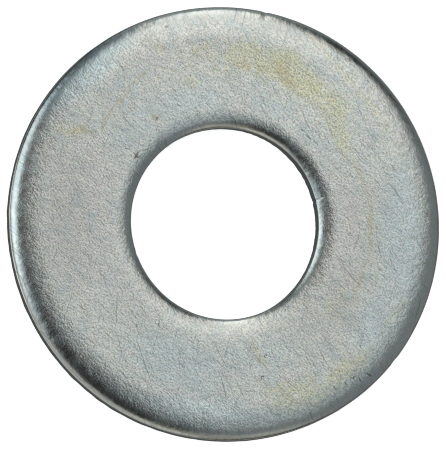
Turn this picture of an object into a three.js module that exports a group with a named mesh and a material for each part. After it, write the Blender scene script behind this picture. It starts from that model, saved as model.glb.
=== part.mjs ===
// A zinc-plated steel flat washer of the 3/8 inch wide series, in millimetres.
//
// It is one stamped ring. The origin is the centre of the lower face, which is the face with the
// sharp edges, and +Z runs along the hole's axis to the face whose edges are rolled over.
//
// A press cuts the outer edge and the hole in one stroke, so both edges have the same four stretches
// from the upper face down: a roll-over, a smooth straight land, a rough wall that breaks away from
// the land, and a small broken corner at the lower face.

import * as THREE from "three";

// Driving sizes.
const OUTER_DIAMETER = 25.4;
const HOLE_DIAMETER = 11.13;
const THICKNESS = 2.1;

// The roll-over of each edge is a quarter of an ellipse, this wide and this deep.
const OUTER_ROLL = { width: 2.0, depth: 0.48 };
const HOLE_ROLL = { width: 1.15, depth: 0.34 };

// Heights are shares of the thickness, because the press sets them so.
const LAND_SHARE = 0.32;
const TAPER_SHARE = 0.09;
const CORNER_BREAK = 0.07;

// How finely the round stretches are divided.
const ROLL_STEPS = 8;
const TURN_STEPS = 96;

const OUTER_RADIUS = OUTER_DIAMETER / 2;
const HOLE_RADIUS = HOLE_DIAMETER / 2;
const LAND_HEIGHT = LAND_SHARE * THICKNESS;
const TAPER = TAPER_SHARE * THICKNESS;

// The stretches of one cut edge, from the lower face up, as points of (radius, height).
// `outward` is +1 where the metal ends outwards, at the rim, and -1 where it ends inwards, at the hole.
function cutEdge(edgeRadius, outward, roll) {
  const landTop = THICKNESS - roll.depth;
  const landBottom = landTop - LAND_HEIGHT;
  const brokenRadius = edgeRadius - outward * TAPER;
  const points = [
    new THREE.Vector2(brokenRadius - outward * CORNER_BREAK, 0),
    new THREE.Vector2(brokenRadius, CORNER_BREAK),
    new THREE.Vector2(edgeRadius, landBottom),
  ];
  for (let step = 0; step <= ROLL_STEPS; step += 1) {
    const angle = (Math.PI / 2) * (step / ROLL_STEPS);
    const inset = roll.width * (1 - Math.cos(angle));
    const height = landTop + roll.depth * Math.sin(angle);
    points.push(new THREE.Vector2(edgeRadius - outward * inset, height));
  }
  return points;
}

// The closed section of the ring: up the rim, in over the upper face, down the hole and back along
// the lower face.
function ringSection() {
  const rim = cutEdge(OUTER_RADIUS, 1, OUTER_ROLL);
  const hole = cutEdge(HOLE_RADIUS, -1, HOLE_ROLL).reverse();
  return [...rim, ...hole, rim[0].clone()];
}

// The ring is turned about the lathe's own Y axis, which is then laid along +Z.
function washerGeometry() {
  const geometry = new THREE.LatheGeometry(ringSection(), TURN_STEPS);
  geometry.rotateX(Math.PI / 2);
  return geometry;
}

function zincPlate() {
  return new THREE.MeshStandardMaterial({
    color: 0xb4b7b1,
    roughness: 0.38,
    metalness: 1.0,
  });
}

function flatWasher() {
  const mesh = new THREE.Mesh(washerGeometry(), zincPlate());
  mesh.name = "flat_washer";
  return mesh;
}

const washer = new THREE.Group();
washer.add(flatWasher());

export default washer;
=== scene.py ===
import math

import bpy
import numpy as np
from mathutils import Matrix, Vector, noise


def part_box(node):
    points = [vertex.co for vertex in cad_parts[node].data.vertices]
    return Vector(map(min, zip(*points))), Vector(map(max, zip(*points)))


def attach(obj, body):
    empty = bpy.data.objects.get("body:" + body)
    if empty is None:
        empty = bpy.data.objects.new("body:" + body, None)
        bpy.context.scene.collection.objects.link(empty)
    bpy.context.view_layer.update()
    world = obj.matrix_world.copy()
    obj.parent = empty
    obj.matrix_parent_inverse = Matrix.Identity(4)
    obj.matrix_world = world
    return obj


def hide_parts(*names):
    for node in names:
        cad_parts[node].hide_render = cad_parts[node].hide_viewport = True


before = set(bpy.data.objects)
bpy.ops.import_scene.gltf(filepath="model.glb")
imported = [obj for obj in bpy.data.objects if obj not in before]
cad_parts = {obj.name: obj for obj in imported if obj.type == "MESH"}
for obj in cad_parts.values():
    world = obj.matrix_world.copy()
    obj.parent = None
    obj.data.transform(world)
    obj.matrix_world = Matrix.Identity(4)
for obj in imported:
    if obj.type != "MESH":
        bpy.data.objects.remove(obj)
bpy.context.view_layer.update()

# A zinc-plated flat washer, lying on a pale floor under soft studio light.
#
# The imported CAD ring gives the rim, the hole and the thickness. The ring shown here is a finer mesh of
# the same section, with the small faults that stamping leaves: edges that aren't quite round, knocks on
# them, a side of the hole that was cut closer, and a torn wall under the smooth land. The plating is one
# procedural material, with its tints, stains, scratches and dents, and with painted sheen, glints and
# shade in places.
#
# Lengths are metres and listed angles are degrees, unless a comment says otherwise. In the functions that
# shape the mesh, angle and turn are radians. Both are counted round the ring from +X towards +Y.

MM = 0.001
NODE = "flat_washer"

# ---------------------------------------------------------------------------------------------
# Sizes that the frame gives
# ---------------------------------------------------------------------------------------------

BOX_LOW, BOX_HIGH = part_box(NODE)
RIM_RADIUS = (BOX_HIGH.x - BOX_LOW.x) / 2
THICKNESS = BOX_HIGH.z - BOX_LOW.z
FLOOR_Z = BOX_LOW.z
MIDDLE = (BOX_LOW + BOX_HIGH) / 2


def hole_radius():
    """The CAD ring's smallest radius, which its hole's corners lie on."""
    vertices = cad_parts[NODE].data.vertices
    return min(math.hypot(v.co.x, v.co.y) for v in vertices)


HOLE_RADIUS = hole_radius()

# The same sizes and shares as in the CAD section.
RIM_ROLL_WIDTH, RIM_ROLL_DEPTH = 2.0 * MM, 0.48 * MM
HOLE_ROLL_WIDTH, HOLE_ROLL_DEPTH = 1.15 * MM, 0.34 * MM
LAND_HEIGHT = 0.32 * THICKNESS
TAPER = 0.09 * THICKNESS
CORNER_BREAK = 0.07 * MM

# How finely the ring is divided: round the axis, then along each stretch of its section. An edge's
# counts are for its corner, its torn wall, its land and its roll-over.
TURN_STEPS = 880
RIM_STEPS = (3, 9, 5, 22)
HOLE_STEPS = (3, 8, 4, 15)
FLAT_STEPS = 24
LOW_STEPS = 9

# The lower face's first and last rows lie this far in from its corners, to keep the face's shading flat.
LOW_INSET = 0.03 * MM

# The way the strip's grain runs: it was rolled before it was stamped.
GRAIN_DIRECTION = -45


# ---------------------------------------------------------------------------------------------
# The ring's mesh
# ---------------------------------------------------------------------------------------------

def spread(start, end, count, bias=1.0):
    """count values from start up to, but not at, end; bias under 1 crowds them towards end."""
    share = (np.arange(count) / count) ** bias
    return start + (end - start) * share


def cut_edge(edge_radius, outward, roll_width, roll_depth, counts):
    """One cut edge from the lower face up to the flat upper face: radii, heights and stretch names.

    outward is 1 at the rim and -1 at the hole.
    """
    n_corner, n_torn, n_land, n_roll = counts
    land_top = THICKNESS - roll_depth
    land_bottom = land_top - LAND_HEIGHT
    torn_radius = edge_radius - outward * TAPER
    radii, heights, names = [], [], []

    def add(r, z, name):
        radii.extend(r)
        heights.extend(z)
        names.extend([name] * len(r))

    tilt = np.radians(spread(-90, 0, n_corner))
    corner_radius = torn_radius - outward * CORNER_BREAK
    add(corner_radius + outward * CORNER_BREAK * np.cos(tilt),
        CORNER_BREAK * (1 + np.sin(tilt)), "corner")
    add(spread(torn_radius, edge_radius, n_torn),
        spread(CORNER_BREAK, land_bottom, n_torn), "torn")
    add(np.full(n_land, edge_radius), spread(land_bottom, land_top, n_land), "land")
    tilt = np.radians(spread(0, 90, n_roll, bias=0.9))
    add(edge_radius - outward * roll_width * (1 - np.cos(tilt)),
        land_top + roll_depth * np.sin(tilt), "roll")
    return np.array(radii), np.array(heights), names


def ring_section():
    """The closed section: up the rim, in over the upper face, down the hole, out along the lower face."""
    rim_r, rim_z, rim_names = cut_edge(RIM_RADIUS, 1, RIM_ROLL_WIDTH, RIM_ROLL_DEPTH, RIM_STEPS)
    hole_r, hole_z, hole_names = cut_edge(HOLE_RADIUS, -1, HOLE_ROLL_WIDTH, HOLE_ROLL_DEPTH, HOLE_STEPS)
    flat_rim = RIM_RADIUS - RIM_ROLL_WIDTH
    flat_hole = HOLE_RADIUS + HOLE_ROLL_WIDTH
    flat = np.append(spread(flat_rim, flat_hole, FLAT_STEPS), flat_hole)
    low_hole = hole_r[0] + LOW_INSET
    low_rim = rim_r[0] - LOW_INSET
    low = np.append(spread(low_hole, low_rim, LOW_STEPS), low_rim)
    radii = np.concatenate([rim_r, flat, hole_r[::-1], low])
    heights = np.concatenate([rim_z, np.full(len(flat), THICKNESS), hole_z[::-1], np.zeros(len(low))])
    names = ["rim_" + name for name in rim_names] + ["flat"] * len(flat)
    names += ["hole_" + name for name in hole_names[::-1]] + ["low"] * len(low)
    return radii, heights, np.array(names)


def wave(angle, amplitude, cycles, phase):
    """A ripple round the ring, with this many cycles in a turn and its phase in degrees."""
    return amplitude * np.cos(cycles * angle + math.radians(phase))


def noise_at(points, scale, seed):
    """Smooth noise, about -1 to 1, at each point; scale is in cycles per millimetre."""
    scaled = points / MM * scale + seed
    return np.array([noise.noise(Vector(p)) for p in scaled])


def out_of_round(angle, at_rim):
    """How far the press left the edge from a true circle, in metres."""
    rim = wave(angle, 0.025 * MM, 2, 25) + wave(angle, 0.015 * MM, 4, 165)
    hole = wave(angle, 0.025 * MM, 2, 195) + wave(angle, 0.02 * MM, 3, 250)
    return np.where(at_rim, rim, hole)


# Small knocks on the edges: the way round in degrees, half the width in degrees and the depth in metres.
# A negative depth is a bump.
RIM_NICKS = [(79, 0.8, 0.04 * MM), (178, 1.5, -0.03 * MM), (322, 1.0, 0.03 * MM)]
HOLE_NICKS = [(15, 0.8, 0.03 * MM), (200, 1.5, 0.02 * MM)]


def nicked(angle, nicks):
    """How deep the knocks cut into an edge, in metres."""
    depth = np.zeros_like(angle)
    for at, half_width, deep in nicks:
        away = (np.degrees(angle) - at) / half_width
        depth += deep * np.exp(-away ** 2)
    return depth


def roll_stretch(angle, at_rim):
    """How many times its usual width the roll-over has: the punch cut a little closer on one side."""
    rim = 1 + wave(angle, 0.04, 3, 0)
    hole = 1.03 + wave(angle, 0.13, 1, -245) + wave(angle, 0.09, 2, -225)
    return rim if at_rim else hole


def stretch_rolls(radius, turn, on_top):
    """The radii of the upper face with each roll-over stretched, and the flat between them moved along."""
    from_hole = radius - HOLE_RADIUS
    from_rim = RIM_RADIUS - radius
    flat_width = RIM_RADIUS - HOLE_RADIUS - HOLE_ROLL_WIDTH - RIM_ROLL_WIDTH
    hole_fade = np.clip(1 - (from_hole - HOLE_ROLL_WIDTH) / flat_width, 0, 1)
    rim_fade = np.clip(1 - (from_rim - RIM_ROLL_WIDTH) / flat_width, 0, 1)
    hole_shift = (roll_stretch(turn, False) - 1) * np.minimum(from_hole, HOLE_ROLL_WIDTH) * hole_fade
    rim_shift = (roll_stretch(turn, True) - 1) * np.minimum(from_rim, RIM_ROLL_WIDTH) * rim_fade
    return radius + np.where(on_top, hole_shift - rim_shift, 0)


# The side of the hole where the punch cut closest, in degrees, and the edge that it left there.
CLOSE_CUT_AT = 15
CLOSE_CUT_HALF_WIDTH = 45
SHALLOW_ROLL_DEPTH = 0.20 * MM
LONGER_LAND = 0.35 * MM


def close_cut(radius, height, turn, name):
    """How far to raise each point of the hole's edge for the close cut, in metres.

    There the roll-over is shallow and ends in a sharp corner, and the land reaches further down.
    """
    away = (np.degrees(turn) - CLOSE_CUT_AT + 180) % 360 - 180
    close = np.exp(-(away / CLOSE_CUT_HALF_WIDTH) ** 2)
    land_bottom = THICKNESS - HOLE_ROLL_DEPTH - LAND_HEIGHT
    to_flat = np.clip(1 - (radius - HOLE_RADIUS) / HOLE_ROLL_WIDTH, 0, 1)
    roll = THICKNESS - SHALLOW_ROLL_DEPTH * to_flat ** 2 - height
    up_land = (height - land_bottom) / LAND_HEIGHT
    land = up_land * (HOLE_ROLL_DEPTH - SHALLOW_ROLL_DEPTH) - (1 - up_land) * LONGER_LAND
    torn = -LONGER_LAND * height / land_bottom
    cases = [name == "hole_roll", name == "hole_land", name == "hole_torn"]
    return close * np.select(cases, [roll, land, torn], 0)


# How large the other faults are: the ripple of the edges, the wavering line under the land, the roughness
# of the torn walls and the sag of the upper face, and the most that the sag may rise over the top.
RIPPLE = 0.006 * MM
LAND_WAVER = 0.14 * MM
TORN_COARSE, TORN_FINE = 0.030 * MM, 0.016 * MM
SAG_BROAD, SAG_LOCAL = 0.0025 * MM, 0.0006 * MM
HIGHEST_RISE = 0.01 * MM

# The torn texture is drawn out up the wall: its noise is read with the height scaled down.
TORN_SCALES = (1, 1, 0.6)


def faulty_edges(radius, turn, share, circle):
    """The radii with both edges out of round, rippled and knocked, which dies away from each edge."""
    near_edge = np.abs(2 * share - 1)
    at_rim = share > 0.5
    ripple = RIPPLE * noise_at(circle, 1.3, 23.0)
    knocks = np.where(at_rim, -nicked(turn, RIM_NICKS), nicked(turn, HOLE_NICKS))
    return radius + out_of_round(turn, at_rim) * near_edge ** 2 + (ripple + knocks) * near_edge ** 6


def land_waver(height, name, circle):
    """How far the line between the land and the torn wall wavers up and down, which fades both ways."""
    land = np.char.endswith(name, "land")
    land_bottom = height[land].min()
    land_top = land_bottom + LAND_HEIGHT
    up_torn = np.where(np.char.endswith(name, "torn"), height / land_bottom, 0)
    down_land = np.where(land, np.clip((land_top - height) / LAND_HEIGHT, 0, 1), 0)
    return LAND_WAVER * noise_at(circle, 1.5, 41.0) * np.maximum(up_torn, down_land)


def torn_depth(smooth, name):
    """How far the torn walls lie back in the metal, as a change of radius: inwards at the rim."""
    rough = TORN_COARSE * noise_at(smooth * TORN_SCALES, 3.0, 7.0) + TORN_FINE * noise_at(smooth, 8.0, 31.0)
    into_metal = np.where(np.char.startswith(name, "rim"), -1.0, 1.0)
    return np.where(np.char.endswith(name, "torn"), into_metal * np.abs(rough), 0)


def upper_sag(smooth, on_top):
    """How far the upper face rises and falls, since it isn't quite flat."""
    sag = SAG_BROAD * noise_at(smooth, 0.35, 11.0) + SAG_LOCAL * noise_at(smooth, 1.4, 17.0)
    return np.where(on_top, sag, 0)


def washer_points():
    """Every vertex of the ring, row by row round the section, and the stretch each lies on."""
    radii, heights, names = ring_section()
    angle = np.linspace(0, 2 * np.pi, TURN_STEPS, endpoint=False)
    rows = len(radii)
    radius = np.repeat(radii, TURN_STEPS)
    height = np.repeat(heights, TURN_STEPS)
    turn = np.tile(angle, rows)
    name = np.repeat(names, TURN_STEPS)

    on_top = (name == "flat") | np.char.endswith(name, "roll")
    raised = close_cut(radius, height, turn, name)
    radius = stretch_rolls(radius, turn, on_top)
    share = np.clip((radius - HOLE_RADIUS) / (RIM_RADIUS - HOLE_RADIUS), 0, 1)

    # Noise taken on the circle runs along the edges; noise taken on the smooth surface covers it evenly.
    circle = np.stack([np.cos(turn), np.sin(turn), share], axis=1) * RIM_RADIUS
    radius = faulty_edges(radius, turn, share, circle)
    smooth = np.stack([radius * np.cos(turn), radius * np.sin(turn), height], axis=1)
    radius = radius + torn_depth(smooth, name)
    raised = raised + land_waver(height, name, circle) + upper_sag(smooth, on_top)
    height = np.minimum(height + raised, THICKNESS + HIGHEST_RISE)

    points = np.stack([radius * np.cos(turn), radius * np.sin(turn), height + FLOOR_Z], axis=1)
    return points, name, rows


def ring_faces(rows):
    """Quads that join each row of the section to the next, all the way round both ways."""
    row, step = np.meshgrid(np.arange(rows), np.arange(TURN_STEPS), indexing="ij")
    next_row = (row + 1) % rows
    next_step = (step + 1) % TURN_STEPS
    corners = [
        row * TURN_STEPS + step,
        row * TURN_STEPS + next_step,
        next_row * TURN_STEPS + next_step,
        next_row * TURN_STEPS + step,
    ]
    return np.stack(corners, axis=-1).reshape(-1, 4)


# Areas of the upper face that are lighter, duller or tinted. The lighter and duller ones are partly the
# plating's own blotchiness and partly painted sheen and painted shade, such as the bright and dark bands
# along the roll-overs. Each has the place of its middle and half its length and half its width in
# millimetres, the way it lies in degrees, and its strength.
LIGHTER_BLOTCHES_AND_SHEEN = [
    (4.6, 8.0, 5.2, 3.0, -30, 1.0),
    (-2.2, 8.2, 3.6, 2.6, 10, 0.7),
    (0.5, -6.6, 2.8, 0.8, 0, 0.5),
    (8.5, 5.2, 3.2, 1.2, -60, 0.6),
    (-1.2, 11.3, 3.4, 0.5, 5, 1.4),
    (-6.8, 9.1, 2.4, 0.5, 42, 1.2),
    (-1.6, -11.0, 2.2, 0.5, -8, 1.3),
]
DULLER_BLOTCHES_AND_SHADE = [
    (-9.7, 0.3, 1.9, 4.4, 0, 1.0),
    (6.2, -4.4, 3.0, 1.7, 45, 0.8),
    (8.1, 0.5, 1.3, 2.2, 0, 0.5),
    (-7.2, -9.1, 2.4, 0.4, -38, 1.4),
    (-4.6, 3.2, 1.6, 0.4, 57, 0.5),
]
WARM_AREAS = [
    (-8.4, 0.5, 2.2, 5.0, 0, 1.0),
    (7.0, -1.5, 1.2, 4.5, 0, 1.0),
    (-2.5, 9.8, 3.2, 1.3, 10, 0.7),
    (-5.5, -3.8, 2.5, 2.0, 0, 0.5),
    (9.5, 6.2, 1.2, 2.6, 40, 0.5),
]
COOL_AREAS = [
    (-8.1, 8.8, 3.6, 0.9, 45, 1.0),
    (-5.4, 5.4, 1.9, 1.0, 45, 0.55),
    (-2.2, 7.0, 2.6, 0.9, 15, 0.6),
    (2.6, 6.7, 1.6, 0.6, -25, 0.6),
    (4.9, 5.2, 1.2, 0.5, -48, 0.6),
    (10.3, -0.6, 4.6, 1.4, 90, 0.75),
    (8.9, -5.5, 2.3, 1.2, 55, 0.7),
    (-3.0, -8.2, 3.6, 1.6, -20, 0.6),
    (1.6, -8.0, 2.6, 1.3, 5, 0.5),
    (-0.5, -10.8, 4.2, 0.7, -5, 0.6),
]
YELLOW_STAINS = [
    (0.0, 9.7, 2.8, 1.4, 0, 0.4),
    (2.4, 9.2, 1.3, 0.9, -15, 0.75),
    (1.3, 9.7, 1.7, 0.9, -5, 0.7),
    (3.4, 9.4, 1.2, 0.95, -10, 0.85),
    (4.6, 8.2, 2.0, 0.9, -30, 0.85),
    (6.3, 7.0, 1.2, 0.9, -40, 0.7),
    (6.7, 5.4, 1.6, 0.6, -70, 0.65),
    (7.4, 8.4, 3.6, 0.3, -48, 0.5),
    (9.8, 5.2, 1.6, 0.25, -62, 0.4),
    (-8.9, 5.2, 1.2, 0.4, 0, 0.55),
    (-4.1, 10.3, 0.6, 0.3, -60, 0.5),
    (-2.2, 8.2, 0.6, 0.5, 0, 0.45),
    (1.9, -7.6, 0.9, 0.25, -60, 0.6),
    (4.2, -9.9, 2.0, 1.0, 12, 0.55),
    (6.9, -8.6, 2.0, 0.6, 35, 0.6),
    (9.9, -5.2, 1.6, 0.3, 55, 0.4),
    (6.6, -4.6, 1.3, 0.8, 45, 0.4),
]
AMBER_STAINS = [
    (3.4, 8.8, 0.9, 0.4, -65, 0.7),
    (1.6, 9.1, 1.3, 0.3, -10, 0.45),
    (-8.6, 5.1, 0.7, 0.3, 0, 0.35),
    (-4.2, 6.1, 0.14, 0.14, 0, 0.9),
]


# An area is at its full strength out to the first of these, and gone at the second, in halves of its size.
AREA_FULL_TO, AREA_GONE_AT = 0.4, 1.6


def areas(points, listed):
    """The strongest of the listed areas at each vertex of the upper face, faded at its edge."""
    place = points[:, :2] / MM
    together = np.zeros(len(points))
    for x, y, half_long, half_wide, lies, strength in listed:
        heading = math.radians(lies)
        from_middle = place - (x, y)
        along = from_middle @ (math.cos(heading), math.sin(heading)) / half_long
        beside = from_middle @ (-math.sin(heading), math.cos(heading)) / half_wide
        fade = (AREA_GONE_AT - np.hypot(along, beside)) / (AREA_GONE_AT - AREA_FULL_TO)
        fade = np.clip(fade, 0, 1)
        together = np.maximum(together, strength * fade * fade * (3 - 2 * fade))
    return np.where(points[:, 2] > FLOOR_Z + THICKNESS / 2, together, 0)


def set_mask(mesh, name, values):
    """A number for each vertex that the material reads by name."""
    attribute = mesh.attributes.new(name, "FLOAT", "POINT")
    attribute.data.foreach_set("value", values.astype(np.float32))


# Where the press rubbed the edges smooth: how far up each roll-over, as a share of its width, and how
# quickly the polish sets in from there towards the edge.
RIM_POLISH_REACH, HOLE_POLISH_REACH = 0.48, 0.45
POLISH_RISE = 1.6


def build_washer():
    """The ring's mesh, with the masks that its material reads."""
    points, name, rows = washer_points()
    mesh = bpy.data.meshes.new("washer_ring")
    mesh.from_pydata(points.tolist(), [], ring_faces(rows).tolist())
    mesh.update()
    mesh.shade_smooth()
    radius = np.hypot(points[:, 0], points[:, 1])
    torn = np.char.endswith(name, "torn") | np.char.endswith(name, "corner")
    wall = torn | np.char.endswith(name, "land")
    from_rim = (RIM_RADIUS - radius) / RIM_ROLL_WIDTH
    from_hole = (radius - HOLE_RADIUS) / HOLE_ROLL_WIDTH
    share_of_reach = np.minimum(from_rim / RIM_POLISH_REACH, from_hole / HOLE_POLISH_REACH)
    polish = np.clip(POLISH_RISE * (1 - share_of_reach), 0, 1)
    set_mask(mesh, "torn", torn.astype(float))
    set_mask(mesh, "wall", wall.astype(float))
    set_mask(mesh, "upper", (points[:, 2] > FLOOR_Z + THICKNESS / 2).astype(float))
    set_mask(mesh, "polish", np.where(name == "low", 0, polish))
    # Painted sheen and shade, in part: the lighter and duller areas brighten and darken the plating's
    # colour.
    set_mask(mesh, "blotches_sheen_and_shade", areas(points, LIGHTER_BLOTCHES_AND_SHEEN) - areas(points, DULLER_BLOTCHES_AND_SHADE))
    set_mask(mesh, "warm", areas(points, WARM_AREAS))
    set_mask(mesh, "cool", areas(points, COOL_AREAS))
    set_mask(mesh, "yellow", areas(points, YELLOW_STAINS))
    set_mask(mesh, "amber", areas(points, AMBER_STAINS))
    washer = bpy.data.objects.new("washer_ring", mesh)
    bpy.context.collection.objects.link(washer)
    return washer


# ---------------------------------------------------------------------------------------------
# Materials
# ---------------------------------------------------------------------------------------------

# Where a mix node keeps its colour sockets.
COLOUR_A, COLOUR_B, COLOUR_RESULT = 6, 7, 2


class Nodes:
    """Short calls for making and joining shader nodes."""

    def __init__(self, owner):
        owner.use_nodes = True
        self.tree = owner.node_tree
        self.shader = next(n for n in self.tree.nodes if not n.type.startswith("OUTPUT"))

    def join(self, source, socket):
        """source is a socket to link, or a plain value to set."""
        if isinstance(source, bpy.types.NodeSocket):
            self.tree.links.new(source, socket)
        else:
            socket.default_value = source

    def math(self, operation, a, b):
        node = self.tree.nodes.new("ShaderNodeMath")
        node.operation = operation
        self.join(a, node.inputs[0])
        self.join(b, node.inputs[1])
        return node.outputs[0]

    def vector_math(self, operation, a, b=(0, 0, 0), output="Vector"):
        node = self.tree.nodes.new("ShaderNodeVectorMath")
        node.operation = operation
        self.join(a, node.inputs[0])
        self.join(b, node.inputs[1])
        return node.outputs[output]

    def scaled(self, vector, factors):
        return self.vector_math("MULTIPLY", vector, factors)

    def offset(self, vector, by):
        return self.vector_math("ADD", vector, by)

    def turned(self, vector, degrees, factors):
        """vector turned about Z, then scaled, for a pattern that runs one way."""
        node = self.tree.nodes.new("ShaderNodeMapping")
        node.vector_type = "TEXTURE"
        node.inputs["Rotation"].default_value = (0, 0, math.radians(degrees))
        node.inputs["Scale"].default_value = [1 / f for f in factors]
        self.join(vector, node.inputs["Vector"])
        return node.outputs[0]

    def noise_node(self, vector, scale, detail, roughness):
        node = self.tree.nodes.new("ShaderNodeTexNoise")
        self.join(vector, node.inputs["Vector"])
        node.inputs["Scale"].default_value = scale
        node.inputs["Detail"].default_value = detail
        node.inputs["Roughness"].default_value = roughness
        return node

    def noise(self, vector, scale, detail, roughness):
        return self.noise_node(vector, scale, detail, roughness).outputs["Fac"]

    def tinted_noise(self, vector, scale, detail, roughness):
        """Three separate noises as one vector."""
        return self.noise_node(vector, scale, detail, roughness).outputs["Color"]

    def ramp(self, value, low, high, to_low=0.0, to_high=1.0):
        """value from low..high, taken smoothly to to_low..to_high."""
        node = self.tree.nodes.new("ShaderNodeMapRange")
        node.interpolation_type = "SMOOTHSTEP"
        self.join(value, node.inputs["Value"])
        node.inputs["From Min"].default_value = low
        node.inputs["From Max"].default_value = high
        node.inputs["To Min"].default_value = to_low
        node.inputs["To Max"].default_value = to_high
        return node.outputs["Result"]

    def mix(self, share, a, b, blend="MIX"):
        """Two colours mixed. Their sockets come after those for numbers and vectors, which are unused."""
        node = self.tree.nodes.new("ShaderNodeMix")
        node.data_type = "RGBA"
        node.blend_type = blend
        self.join(share, node.inputs[0])
        self.join(a, node.inputs[COLOUR_A])
        self.join(b, node.inputs[COLOUR_B])
        return node.outputs[COLOUR_RESULT]

    def bump(self, height, distance, below=None, strength=1.0):
        node = self.tree.nodes.new("ShaderNodeBump")
        self.join(height, node.inputs["Height"])
        self.join(strength, node.inputs["Strength"])
        node.inputs["Distance"].default_value = distance
        if below is not None:
            self.join(below, node.inputs["Normal"])
        return node.outputs["Normal"]

    def mask(self, name):
        node = self.tree.nodes.new("ShaderNodeAttribute")
        node.attribute_name = name
        return node.outputs["Fac"]

    def millimetres(self):
        node = self.tree.nodes.new("ShaderNodeTexCoord")
        return self.scaled(node.outputs["Object"], (1 / MM, 1 / MM, 1 / MM))


# Colours of the plating and of what lies on it.
GREY_PLATE = (0.675, 0.68, 0.655, 1)
PALE_PLATE = (0.715, 0.705, 0.665, 1)
WARM_TINT = (0.72, 0.685, 0.66, 1)
COOL_TINT = (0.58, 0.66, 0.69, 1)
YELLOW_TINT = (0.73, 0.68, 0.44, 1)
AMBER_TINT = (0.61, 0.51, 0.31, 1)
# Painted shade: the colour of the grain's low points.
PIT_SHADE = (0.30, 0.31, 0.30, 1)
SCRATCH_DARK = (0.22, 0.22, 0.21, 1)
DIRT_BROWN = (0.13, 0.10, 0.07, 1)
# Painted glints: a near-white colour for scratches and dents that catch the light.
GLINT_WHITE = (0.97, 0.95, 0.86, 1)
# Painted shade, in part: the walls and torn walls are darkened so that the edges show a dark outline.
WALL_PLATING_AND_SHADE = (0.24, 0.33, 0.33, 1)
TORN_PLATING_AND_SHADE = (0.12, 0.14, 0.14, 1)

# Fine marks on the upper face, listed in the same way as the areas. A dent has its place and its radius.
DRIED_LINES = [
    (-5.1, 8.4, 0.9, 0.11, 44, 0.6),
    (-6.1, 7.3, 0.8, 0.13, 50, 0.65),
    (-7.0, 6.0, 0.9, 0.11, 62, 0.5),
    (-3.5, 8.9, 0.9, 0.08, -8, 0.4),
    (-1.85, 9.9, 1.2, 0.10, 64, 0.5),
    (-1.2, 10.7, 0.6, 0.10, 90, 0.5),
    (7.95, 2.9, 1.5, 0.15, -70, 0.45),
    (8.55, 0.0, 2.1, 0.16, 90, 0.55),
    (8.1, -2.8, 1.3, 0.15, 72, 0.4),
]
BROWN_MARKS = [
    (-5.25, 3.85, 0.34, 0.05, 58, 0.95),
    (-5.25, 3.85, 0.26, 0.05, -48, 0.9),
    (-5.8, 4.2, 0.25, 0.04, -15, 0.5),
    (-4.75, 4.15, 0.22, 0.04, 10, 0.5),
    (-6.3, 3.8, 0.30, 0.03, 8, 0.4),
    (-4.1, 6.0, 0.13, 0.08, 70, 0.6),
    (-2.8, 6.8, 0.15, 0.04, -40, 0.5),
    (-3.5, 11.4, 0.12, 0.08, 20, 0.6),
    (4.5, 5.5, 0.14, 0.05, -20, 0.6),
    (4.9, 5.1, 0.22, 0.05, -40, 0.7),
    (5.3, 4.8, 0.20, 0.04, -45, 0.5),
    (9.8, 6.5, 0.30, 0.05, -55, 0.35),
    (10.4, 5.3, 0.25, 0.05, -60, 0.35),
    (9.1, -2.6, 0.14, 0.06, -45, 0.6),
    (8.4, -8.7, 0.26, 0.05, -25, 0.7),
    (7.9, -9.0, 0.16, 0.05, -60, 0.6),
    (7.1, -9.2, 0.16, 0.06, -50, 0.6),
    (6.4, -9.5, 0.14, 0.05, -50, 0.5),
]
SCRATCHES = [
    (-6.45, -5.2, 1.1, 0.028, 88, 0.8),
    (-6.30, -7.2, 0.8, 0.028, -75, 0.8),
    (-4.80, -8.3, 1.6, 0.026, -72, 0.75),
    (-5.50, -5.4, 0.55, 0.026, -60, 0.7),
    (-0.30, -7.8, 1.1, 0.028, -62, 0.8),
    (-0.15, -9.7, 0.75, 0.035, -76, 0.95),
    (0.60, -10.6, 0.8, 0.028, 68, 0.7),
    (1.30, -9.8, 0.35, 0.035, 0, 0.7),
    (5.80, -7.8, 0.85, 0.028, -60, 0.8),
    (4.70, -4.8, 0.4, 0.028, -66, 0.8),
    (3.60, -9.3, 0.7, 0.026, -65, 0.6),
    (10.05, 2.0, 0.75, 0.034, -57, 0.95),
    (9.90, 3.5, 0.3, 0.03, -55, 0.7),
    (7.45, -3.0, 0.85, 0.034, -45, 0.9),
    (9.00, -1.0, 1.3, 0.03, -82, 0.7),
    (8.10, 3.8, 0.9, 0.028, -45, 0.6),
    (-5.80, 5.8, 0.6, 0.032, -47, 0.9),
    (-7.90, 3.1, 0.7, 0.026, -50, 0.5),
    (-8.60, 1.7, 0.8, 0.026, -55, 0.5),
    (-8.00, -3.4, 0.5, 0.026, -70, 0.5),
]
# Painted glints on scratches and dents, where they catch the light.
SCRATCH_AND_DENT_GLINTS = [
    (-6.15, 0.20, 0.32, 0.035, 58, 1.0),
    (-6.05, -0.55, 0.24, 0.045, 58, 0.8),
    (-10.15, 5.0, 0.3, 0.04, -42, 1.0),
    (-10.9, 3.4, 0.3, 0.035, -50, 0.9),
    (5.65, 1.55, 0.2, 0.06, 20, 1.0),
    (6.65, -5.6, 0.12, 0.08, 0, 0.7),
    (2.25, -7.7, 0.09, 0.06, 0, 0.9),
    (2.10, -9.0, 0.08, 0.06, 0, 0.9),
    (-9.0, -5.9, 0.5, 0.03, -60, 0.6),
]
DENTS = [
    (2.35, -7.75, 0.09),
    (2.15, -9.0, 0.09),
    (-5.25, -6.1, 0.07),
    (-3.95, -6.0, 0.07),
    (7.6, -8.9, 0.08),
]


# A mark is at its full strength out to the first of these, and gone at the second, in halves of its size.
# Its height, in millimetres, is so large that only its place on the face counts.
MARK_FULL_TO, MARK_GONE_AT = 0.45, 1.35
MARK_HEIGHT = 100


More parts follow.
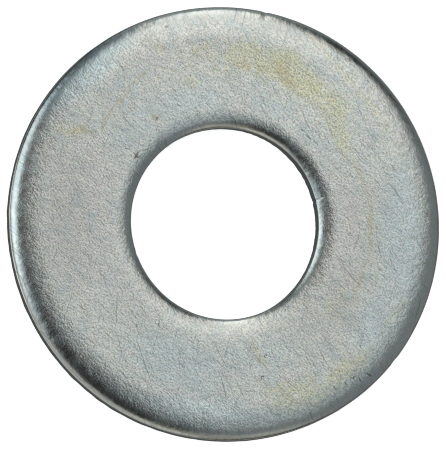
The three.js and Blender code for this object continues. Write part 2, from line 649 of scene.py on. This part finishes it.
def mark(n, place, x, y, half_long, half_wide, lies, strength):
    """A soft-edged oval, 1 in its middle and 0 outside, times its strength."""
    node = n.tree.nodes.new("ShaderNodeMapping")
    node.vector_type = "TEXTURE"
    node.inputs["Location"].default_value = (x, y, 0)
    node.inputs["Rotation"].default_value = (0, 0, math.radians(lies))
    node.inputs["Scale"].default_value = (half_long, half_wide, MARK_HEIGHT)
    n.join(place, node.inputs["Vector"])
    length = n.vector_math("LENGTH", node.outputs[0], output="Value")
    return n.ramp(length, MARK_GONE_AT, MARK_FULL_TO, 0, strength)


def marks(n, place, listed):
    """The strongest of the listed marks at each point."""
    together = 0.0
    for one in listed:
        together = n.math("MAXIMUM", together, mark(n, place, *one))
    return together


def ragged(n, area, patchy):
    """An area that the mesh carries as a mask, with its soft edge broken up."""
    mask = n.mask(area)
    return n.math("MULTIPLY", mask, n.ramp(n.math("ADD", mask, patchy), 0.6, 1.0))


# Which ways the finest scratches run, and the scales at which their noise is read, first along them.
HAIRLINE_DIRECTIONS = (-62, -40, 75)
HAIRLINE_SCALES = (0.35, 11, 1)


def hairlines(n, place):
    """Sparse fine scratches, 0 to 1. Each direction reads another part of the noise."""
    together = 0.0
    for direction in HAIRLINE_DIRECTIONS:
        along = n.turned(n.offset(place, (20, direction, 0)), direction, HAIRLINE_SCALES)
        streak = n.ramp(n.noise(along, 1.0, 1.0, 0.5), 0.66, 0.74)
        together = n.math("MAXIMUM", together, streak)
    return together


def drag_lines(n, place):
    """Fine lines that the press drew over each edge, square to the way round."""
    across = n.scaled(place, (1, 1, 0))
    on_circle = n.scaled(n.vector_math("NORMALIZE", across), (12, 12, 0))
    from_axis = n.vector_math("LENGTH", across, output="Value")
    return n.noise(n.offset(on_circle, n.scaled((0, 0, 0.2), from_axis)), 4.0, 3.0, 0.6)


def shaken(n, place):
    """place pushed about a little, so that marks laid on it come out crooked."""
    push = n.scaled(n.tinted_noise(place, 0.9, 2.0, 0.5), (0.3, 0.3, 0))
    return n.offset(n.offset(place, push), (-0.15, -0.15, 0))


def passivated(n, place, dried, mottle, fleck):
    """The plating's colour with its warm, cool, yellow and amber tints, and how yellow it is."""
    patchy = n.ramp(n.noise(n.offset(place, (0, 0, 30)), 1.8, 6.0, 0.85), 0.34, 0.66)
    cloud = n.noise(place, 0.22, 3.0, 0.55)
    plate = n.mix(n.ramp(cloud, 0.35, 0.65), GREY_PLATE, PALE_PLATE)
    plate = n.mix(ragged(n, "warm", patchy), plate, WARM_TINT)
    cool = n.math("MAXIMUM", ragged(n, "cool", patchy), n.ramp(mottle, 0.50, 0.72, 0, 0.6))
    cool = n.math("MULTIPLY", cool, n.ramp(fleck, 0.35, 0.55, 0.5, 1.0))
    plate = n.mix(cool, plate, COOL_TINT)
    yellow = n.math("MULTIPLY", ragged(n, "yellow", patchy), n.ramp(fleck, 0.36, 0.62, 0.5, 1.2))
    yellow = n.math("MAXIMUM", yellow, n.ramp(fleck, 0.55, 0.75, 0, 0.4))
    plate = n.mix(yellow, plate, YELLOW_TINT)
    amber = n.math("MULTIPLY", dried, n.ramp(patchy, 0.2, 0.7, 0.35, 1))
    amber = n.math("MAXIMUM", amber, ragged(n, "amber", patchy))
    return n.mix(amber, plate, AMBER_TINT), yellow


def flecked(n, plate, place, pit_shade):
    """The plate's colour with coloured flecks, lighter and duller areas that are partly painted sheen and
    shade, and painted shade in the grain's low points.
    """
    tints = n.tinted_noise(n.offset(place, (0, 60, 0)), 3.4, 4.0, 0.9)
    tints = n.offset(n.scaled(tints, (0.38, 0.33, 0.38)), (0.81, 0.835, 0.81))
    plate = n.mix(1.0, plate, tints, "MULTIPLY")
    # Painted sheen and shade, in part: the lighter and duller areas scale the colour up and down.
    blotches_sheen_and_shade = n.math("ADD", 1.0, n.math("MULTIPLY", n.mask("blotches_sheen_and_shade"), 0.12))
    plate = n.mix(1.0, plate, blotches_sheen_and_shade, "MULTIPLY")
    return n.mix(pit_shade, plate, PIT_SHADE)


def handled(n, plate, shaky, upper, glints):
    """The plate's colour with its scratches and dirt, and painted glints on some scratches and dents."""
    scratched = n.math("MULTIPLY", marks(n, shaky, SCRATCHES), n.math("MULTIPLY", upper, 0.8))
    fine = n.math("MULTIPLY", hairlines(n, shaky), 0.4)
    plate = n.mix(n.math("MAXIMUM", scratched, fine), plate, SCRATCH_DARK)
    plate = n.mix(n.math("MULTIPLY", marks(n, shaky, BROWN_MARKS), upper), plate, DIRT_BROWN)
    # Painted glints: near-white where scratches and dents catch the light.
    return n.mix(glints, plate, GLINT_WHITE)


def cut_walls(n, plate, place, torn):
    """The plate's colour, darker on the walls: partly their thinner plating and partly painted shade, which
    gives the edges their dark outline.
    """
    # Painted shade, in part: the walls, and the torn walls more, are darkened to give the edges a dark
    # outline.
    plate = n.mix(n.math("MULTIPLY", n.mask("wall"), 0.75), plate, WALL_PLATING_AND_SHADE)
    broken = n.ramp(n.noise(n.scaled(place, (1, 1, 0.5)), 5.0, 4.0, 0.7), 0.35, 0.65, 0.1, 0.7)
    return n.mix(n.math("MULTIPLY", torn, broken), plate, TORN_PLATING_AND_SHADE)


def plate_roughness(n, mottle, polish, torn, glints):
    rough = n.ramp(mottle, 0.3, 0.7, 0.22, 0.28)
    rough = n.math("SUBTRACT", rough, n.math("MULTIPLY", polish, 0.04))
    rough = n.math("ADD", rough, n.math("MULTIPLY", torn, 0.25))
    return n.math("ADD", rough, n.math("MULTIPLY", glints, 0.3))


def plate_relief(n, place, grain, matt, polish, torn, upper):
    """The normal, with the grain, the drag lines, the torn walls' texture and the dents."""
    normal = n.bump(n.noise(place, 2.2, 2.0, 0.5), 0.019 * MM)
    normal = n.bump(grain, 0.015 * MM, below=normal, strength=matt)
    normal = n.bump(drag_lines(n, place), 0.005 * MM, below=normal, strength=polish)
    torn_texture = n.noise(n.scaled(place, TORN_SCALES), 7.0, 4.0, 0.7)
    normal = n.bump(torn_texture, 0.04 * MM, below=normal, strength=torn)
    dented = marks(n, place, [(x, y, radius, radius, 0, 1.0) for x, y, radius in DENTS])
    sunk = n.math("MULTIPLY", dented, upper)
    return n.bump(n.math("SUBTRACT", 1.0, sunk), 0.03 * MM, below=normal)


def zinc_plate():
    """Clear-passivated zinc on stamped steel."""
    material = bpy.data.materials.new("zinc_plate")
    n = Nodes(material)
    place = n.millimetres()
    shaky = shaken(n, place)
    upper, torn, polish = n.mask("upper"), n.mask("torn"), n.mask("polish")
    matt = n.math("SUBTRACT", 1.0, n.math("MULTIPLY", polish, 0.9))
    grain = n.noise(n.turned(place, GRAIN_DIRECTION, (0.92, 1.05, 1)), 9.0, 2.0, 0.65)
    fleck = n.noise(n.offset(place, (40, 0, 0)), 6.0, 4.0, 0.8)
    mottle = n.noise(place, 1.1, 3.0, 0.6)
    dried = n.math("MULTIPLY", marks(n, shaky, DRIED_LINES), upper)
    glints = n.math("MULTIPLY", marks(n, place, SCRATCH_AND_DENT_GLINTS), upper)

    plate, yellow = passivated(n, place, dried, mottle, fleck)
    # Painted shade in the grain's low points: less where the edges are polished, more in the yellow stains.
    pit_shade = n.math("MULTIPLY", n.ramp(grain, 0.32, 0.62, 0.5, 0), matt)
    pit_shade = n.math("MULTIPLY", pit_shade, n.math("ADD", 1.0, n.math("MULTIPLY", yellow, 0.5)))
    plate = flecked(n, plate, place, pit_shade)
    plate = handled(n, plate, shaky, upper, glints)
    plate = cut_walls(n, plate, place, torn)

    n.join(plate, n.shader.inputs["Base Color"])
    n.shader.inputs["Metallic"].default_value = 1.0
    n.join(plate_roughness(n, mottle, polish, torn, glints), n.shader.inputs["Roughness"])
    n.join(plate_relief(n, place, grain, matt, polish, torn, upper), n.shader.inputs["Normal"])
    return material


def pale_floor():
    """A lit white table."""
    material = bpy.data.materials.new("pale_floor")
    n = Nodes(material)
    n.shader.inputs["Base Color"].default_value = (0.86, 0.86, 0.86, 1)
    n.shader.inputs["Roughness"].default_value = 0.8
    n.shader.inputs["Emission Color"].default_value = (1, 1, 1, 1)
    n.shader.inputs["Emission Strength"].default_value = 0.85
    return material


# ---------------------------------------------------------------------------------------------
# Stage: floor, light and camera
# ---------------------------------------------------------------------------------------------

def sheet_of(name, corners, material):
    """A flat piece of the stage with these corners, in metres, facing +Z."""
    mesh = bpy.data.meshes.new(name)
    mesh.from_pydata([(x, y, 0) for x, y in corners], [], [range(len(corners))])
    mesh.materials.append(material)
    made = bpy.data.objects.new(name, mesh)
    bpy.context.collection.objects.link(made)
    return made


def towards(azimuth, zenith):
    """The unit direction at an angle from straight up, turned from +X towards +Y."""
    a, z = math.radians(azimuth), math.radians(zenith)
    return Vector((math.sin(z) * math.cos(a), math.sin(z) * math.sin(a), math.cos(z)))


def look_from(thing, azimuth, zenith, distance, point):
    """Puts a thing out from a point in a direction, looking back at it along its -Z, with +Y as its up."""
    back = towards(azimuth, zenith)
    up = Vector((0, 1, 0))
    side = up.cross(back).normalized()
    true_up = back.cross(side)
    turn = Matrix((side, true_up, back)).transposed().to_4x4()
    thing.matrix_world = Matrix.Translation(point + back * distance) @ turn


# Three tints of light, and the studio as the metal sees it: soft-edged patches of light in a dim room.
# Each has its azimuth, its angle from straight up, half its width, how far its edge fades to each side,
# its brightness and its tint. The table is less bright close to the washer, which is in its own shade.
COOL = (0.88, 1.03, 1.08)
PLAIN = (0.98, 1.01, 0.98)
WARM = (1.02, 1.01, 0.90)
LIGHT_PATCHES = [
    ("window", 160, 50, 20, 10, 1.1, COOL),
    ("window_top", 185, 35, 15, 5, 0.5, COOL),
    ("window_side", 200, 50, 10, 5, 0.3, COOL),
    ("window_sill", 180, 105, 25, 5, 0.7, PLAIN),
    ("window_glow", 120, 50, 25, 10, 0.1, COOL),
    ("lamp", 80, 50, 10, 5, 1.3, PLAIN),
    ("lamp_glow", 85, 75, 20, 10, 0.3, COOL),
    ("ceiling", 60, 25, 15, 10, 1.1, PLAIN),
    ("ceiling_end", 95, 30, 10, 5, 0.2, COOL),
    ("overhead", 335, 15, 10, 5, 0.5, COOL),
    ("back_wall", 40, 90, 25, 10, 0.15, COOL),
    ("right_wall", 340, 50, 40, 10, 0.2, COOL),
    ("front", 280, 60, 20, 10, 0.25, WARM),
    ("front_left", 230, 80, 40, 10, 0.45, PLAIN),
    ("table", 0, 180, 80, 10, 0.3, PLAIN),
    ("table_in_shade", 0, 180, 50, 20, -0.2, PLAIN),
]
DIM_SURROUND = (0.01, 0.01, 0.01)


def build_room():
    """The world's light: the sum of the patches."""
    world = bpy.data.worlds.new("room")
    bpy.context.scene.world = world
    n = Nodes(world)
    direction = n.tree.nodes.new("ShaderNodeTexCoord").outputs["Generated"]
    light = DIM_SURROUND
    for name, azimuth, zenith, half_width, fade, glow, tint in LIGHT_PATCHES:
        nearness = n.vector_math("DOT_PRODUCT", direction, towards(azimuth, zenith), "Value")
        outside = math.cos(math.radians(half_width + fade))
        inside = math.cos(math.radians(half_width - fade))
        patch = n.ramp(nearness, outside, inside, 0, glow)
        light = n.vector_math("ADD", light, n.vector_math("MULTIPLY", tint, patch))
    n.join(light, n.shader.inputs["Color"])


FLOOR_REACH = 3.0
FLOOR_GAP = 0.01 * MM


def build_stage():
    """A floor a hair under the washer, so that the two don't share a plane, and the room around it.

    The metal doesn't reflect the floor; the patches below the horizon stand for it.
    """
    reach = FLOOR_REACH
    corners = [(-reach, -reach), (reach, -reach), (reach, reach), (-reach, reach)]
    floor = sheet_of("floor", corners, pale_floor())
    floor.location.z = FLOOR_Z - FLOOR_GAP
    floor.visible_glossy = False
    build_room()


# The camera's direction and distance, how much of the frame's longer side the rim's diameter fills, and
# the point that the camera looks at.
CAMERA_AZIMUTH = 210.8
CAMERA_ZENITH = 12.57
CAMERA_DISTANCE = 0.9
RIM_SHARE_OF_FRAME = 0.9718
AIM = MIDDLE + Vector((0.014, -0.020, 0)) * MM
SENSOR_WIDTH = 36.0


def build_camera():
    """A long lens almost straight over the washer, with the rim filling the frame."""
    data = bpy.data.cameras.new("camera")
    data.sensor_width = SENSOR_WIDTH
    seen = 2 * RIM_RADIUS / RIM_SHARE_OF_FRAME
    data.lens = data.sensor_width * CAMERA_DISTANCE / seen
    camera = bpy.data.objects.new("camera", data)
    bpy.context.collection.objects.link(camera)
    look_from(camera, CAMERA_AZIMUTH, CAMERA_ZENITH, CAMERA_DISTANCE, AIM)
    bpy.context.scene.camera = camera


# The photo's grain is sharper than Blender's usual pixel filter, 1.5 pixels wide, would show it.
PIXEL_FILTER_WIDTH = 1.15


def main():
    washer = build_washer()
    washer.data.materials.append(zinc_plate())
    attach(washer, "root")
    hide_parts(NODE)
    build_stage()
    build_camera()
    bpy.context.scene.view_settings.view_transform = "Standard"
    bpy.context.scene.cycles.filter_width = PIXEL_FILTER_WIDTH


main()
